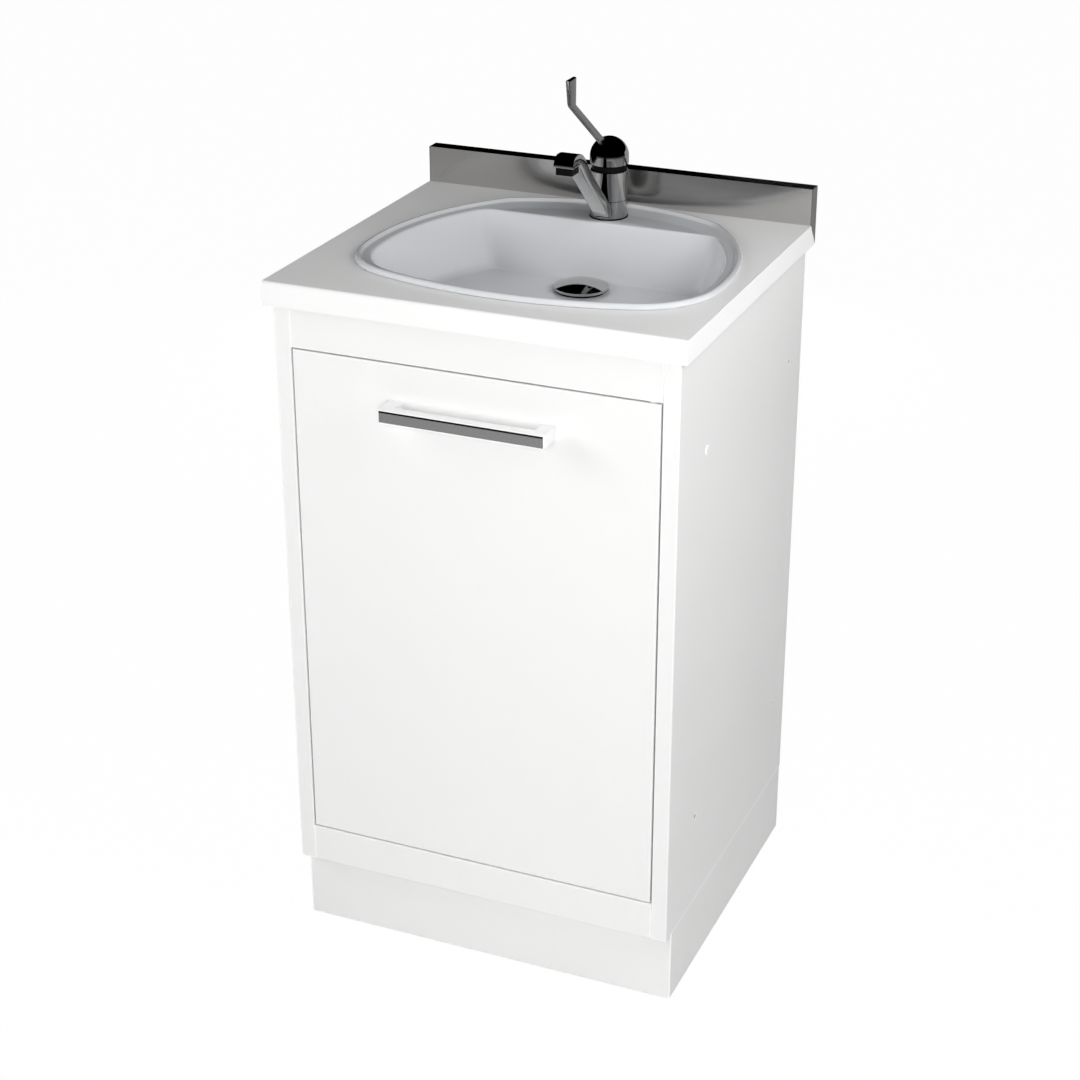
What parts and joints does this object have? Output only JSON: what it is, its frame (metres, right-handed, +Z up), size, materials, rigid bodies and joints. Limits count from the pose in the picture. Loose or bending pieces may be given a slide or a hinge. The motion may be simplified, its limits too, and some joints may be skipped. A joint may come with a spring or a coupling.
{
  "type": "sink cabinet",
  "caption": "White cupboard on a recessed plinth with a hinged door, a laminate worktop with a metal upstand, an inset basin and a long-lever mixer tap.",
  "frame": {"origin": "on the floor, midway across the cabinet and midway between the front of the handle and the wall face of the upstand", "axes": "+X to the right seen from the front, +Y to the wall, +Z up"},
  "size_m": [0.5194, 0.4944, 1.077],
  "materials": {
    "white_steel": "fine smooth powder coat, semi-gloss white",
    "white_plastic": "white moulded plastic, satin gloss",
    "zinc_steel": "zinc-plated steel",
    "nylon": "natural nylon",
    "brushed_strip": "satin grey metal insert",
    "white_board": "white high-pressure laminate on particle board",
    "white_edging": "white edging",
    "board_core": "particle board, unfinished",
    "stainless": "polished stainless sheet",
    "dark_cap": "dark polished metal end",
    "white_ceramic": "glazed white",
    "seal_rubber": "black sealing rubber",
    "chrome": "polished chrome plate",
    "waste_brass": "machined brass",
    "trap_plastic": "white polypropylene",
    "black_plastic": "black plastic ring",
    "aerator_plastic": "dark mesh insert"
  },
  "bodies": {
    "cabinet": {"side_panel_left": "white_steel", "side_panel_right": "white_steel", "hole_plug": "white_plastic", "top_rail": "white_steel", "bottom_rail": "white_steel", "rear_brace": "white_steel", "floor_panel": "white_steel", "back_panel": "white_steel", "plinth_front": "white_steel", "plinth_rear": "white_steel", "plinth_side_left": "white_steel", "plinth_side_right": "white_steel", "pivot_bushing_upper": "nylon", "pivot_bushing_lower": "nylon", "door_catch": "nylon", "worktop": "white_board", "edge_band_left": "white_edging", "edge_band_right": "white_edging", "splash_core": "board_core", "splash_cover": "stainless", "splash_cap_left": "dark_cap", "splash_cap_right": "dark_cap", "basin": "white_ceramic", "basin_seal": "seal_rubber", "waste_flange": "chrome", "waste_gasket": "seal_rubber", "waste_nut": "waste_brass", "waste_tail": "waste_brass", "trap_nut": "trap_plastic", "trap_body": "trap_plastic", "trap_cup": "trap_plastic", "trap_outlet_nut": "trap_plastic", "outlet_pipe": "trap_plastic", "tap_base_ring": "seal_rubber", "tap_body": "chrome", "tap_cartridge": "nylon", "tap_neck": "black_plastic", "tap_washer": "seal_rubber", "tap_nut": "waste_brass"},
    "door": {"door_shell": "white_steel", "door_liner": "white_steel", "pivot_block_upper": "zinc_steel", "pivot_block_lower": "zinc_steel", "pivot_pin_upper": "zinc_steel", "pivot_pin_lower": "zinc_steel", "door_strike": "zinc_steel", "handle_body": "white_plastic", "handle_strip": "brushed_strip", "handle_screws": "zinc_steel"},
    "spout": {"spout": "chrome", "aerator": "aerator_plastic"},
    "mixer_carrier": {"carrier": "waste_brass", "tilt_pin": "zinc_steel"},
    "mixer_lever": {"lever_cap": "chrome", "lever_arm": "chrome"},
    "waste_plug": {"waste_plug": "chrome"}
  },
  "joints": [
    {"name": "door_swing", "type": "hinge", "parent": "cabinet", "child": "door", "pos_m": [0.2179, -0.2092, 0.472], "axis": [0, 0, 1], "range_deg": [0, 110]},
    {"name": "spout_swivel", "type": "hinge", "parent": "cabinet", "child": "spout", "pos_m": [0.015, 0.1683, 0.89], "axis": [0, 0, 1], "range_deg": [-60, 60]},
    {"name": "lever_turn", "type": "hinge", "parent": "cabinet", "child": "mixer_carrier", "pos_m": [0.015, 0.1683, 0.9394], "axis": [0, 0, 1], "range_deg": [-45, 45]},
    {"name": "lever_lift", "type": "hinge", "parent": "mixer_carrier", "child": "mixer_lever", "pos_m": [0.015, 0.1683, 0.9449], "axis": [-1, 0, 0], "range_deg": [0, 15]},
    {"name": "plug_lift", "type": "slide", "parent": "cabinet", "child": "waste_plug", "axis": [0, 0, 1], "range_m": [0, 0.008]}
  ]
}
